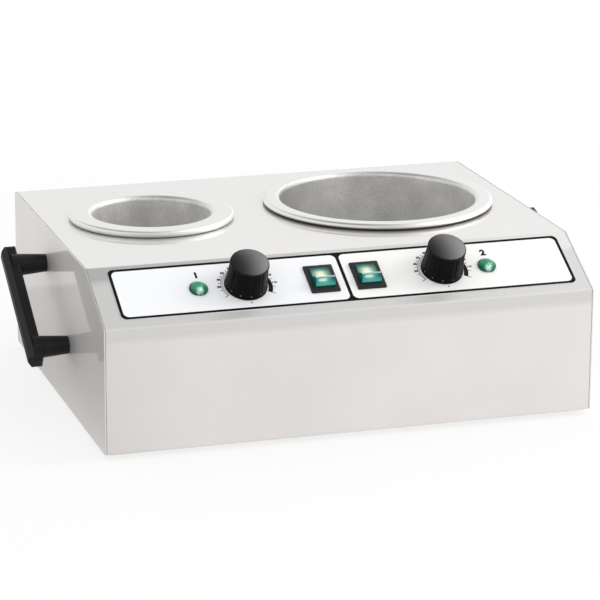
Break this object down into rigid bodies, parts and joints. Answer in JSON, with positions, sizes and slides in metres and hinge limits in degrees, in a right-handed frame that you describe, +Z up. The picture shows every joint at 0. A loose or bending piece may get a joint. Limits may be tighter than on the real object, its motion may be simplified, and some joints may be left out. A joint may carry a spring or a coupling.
{
  "type": "twin pot wax heater",
  "caption": "Bench wax heater: folded steel housing with two lift-out pots, a sloping panel with thermostat knobs, lit rocker switches and pilot lamps, and side handles.",
  "frame": {"origin": "on the table, under the centre of the whole part's box, at the feet's underside", "axes": "+X to the user's right, +Y to the rear, +Z up; the control panel slopes down towards -Y"},
  "size_m": [0.505, 0.3416, 0.1622],
  "materials": {
    "stainless": "satin stainless sheet",
    "zinc_steel": "zinc plated",
    "black_rubber": "matt",
    "handle_black": "satin black",
    "plate_white": "printed white with black border lines",
    "switch_black": "satin black",
    "rocker_green": "translucent green, lit from behind",
    "neon_glass": "clear",
    "brass": "plain",
    "lamp_green": "translucent green",
    "knob_black": "satin skirt, glossy cap",
    "spindle_steel": "turned",
    "thermostat_body": "moulded phenolic",
    "copper": "copper tube",
    "pot_aluminium": "satin spun aluminium",
    "well_aluminium": "plain spun aluminium",
    "heater_steel": "mica band heater jacket",
    "mineral_wool": "fibrous",
    "terminal_ivory": "moulded",
    "wire_sleeve": "heat-proof sleeve"
  },
  "bodies": {
    "housing": {"housing_shell": "stainless", "side_panel_left": "stainless", "side_panel_right": "stainless", "base_plate": "stainless", "base_screws": "zinc_steel", "foot_screws": "zinc_steel", "handle_screws": "zinc_steel", "lamp_nuts": "zinc_steel", "thermostat_nuts": "zinc_steel", "well_studs": "zinc_steel", "well_nuts": "zinc_steel", "feet": "black_rubber", "handle_left": "handle_black", "handle_right": "handle_black", "control_plate": "plate_white", "switch_frame_a": "switch_black", "switch_frame_b": "switch_black", "lamp_body_a": "switch_black", "lamp_body_b": "switch_black", "mains_inlet": "switch_black", "switch_neons": "neon_glass", "switch_contacts": "brass", "terminal_screws": "brass", "earth_stud": "brass", "inlet_pins": "brass", "lamp_lens_a": "lamp_green", "lamp_lens_b": "lamp_green", "thermostat_a": "thermostat_body", "thermostat_b": "thermostat_body", "thermal_cutouts": "thermostat_body", "sensor_a": "copper", "sensor_b": "copper", "well_a": "well_aluminium", "well_b": "well_aluminium", "heater_a": "heater_steel", "heater_b": "heater_steel", "insulation_a": "mineral_wool", "insulation_b": "mineral_wool", "terminal_block": "terminal_ivory", "mains_wires": "wire_sleeve", "wire_loom": "wire_sleeve"},
    "rocker_a": {"rocker_a": "rocker_green"},
    "rocker_b": {"rocker_b": "rocker_green"},
    "knob_a": {"knob_a": "knob_black", "knob_cap_a": "knob_black", "spindle_a": "spindle_steel"},
    "knob_b": {"knob_b": "knob_black", "knob_cap_b": "knob_black", "spindle_b": "spindle_steel"},
    "pot_a": {"pot_a": "pot_aluminium"},
    "pot_b": {"pot_b": "pot_aluminium"}
  },
  "joints": [
    {"name": "turn_a", "type": "hinge", "parent": "housing", "child": "knob_a", "pos_m": [-0.0851, -0.13741, 0.13126], "axis": [0, 0.4721, -0.8816], "range_deg": [0, 300]},
    {"name": "turn_b", "type": "hinge", "parent": "housing", "child": "knob_b", "pos_m": [0.0885, -0.13741, 0.13126], "axis": [0, 0.4721, -0.8816], "range_deg": [-14, 286]},
    {"name": "rock_a", "type": "hinge", "parent": "housing", "child": "rocker_a", "pos_m": [-0.0187, -0.13764, 0.1317], "axis": [1, 0, 0], "range_deg": [0, 40]},
    {"name": "rock_b", "type": "hinge", "parent": "housing", "child": "rocker_b", "pos_m": [0.0221, -0.13764, 0.1317], "axis": [1, 0, 0], "range_deg": [0, 40]},
    {"name": "lift_a", "type": "slide", "parent": "housing", "child": "pot_a", "axis": [0, 0, 1], "range_m": [0, 0.12]},
    {"name": "lift_b", "type": "slide", "parent": "housing", "child": "pot_b", "axis": [0, 0, 1], "range_m": [0, 0.12]}
  ]
}
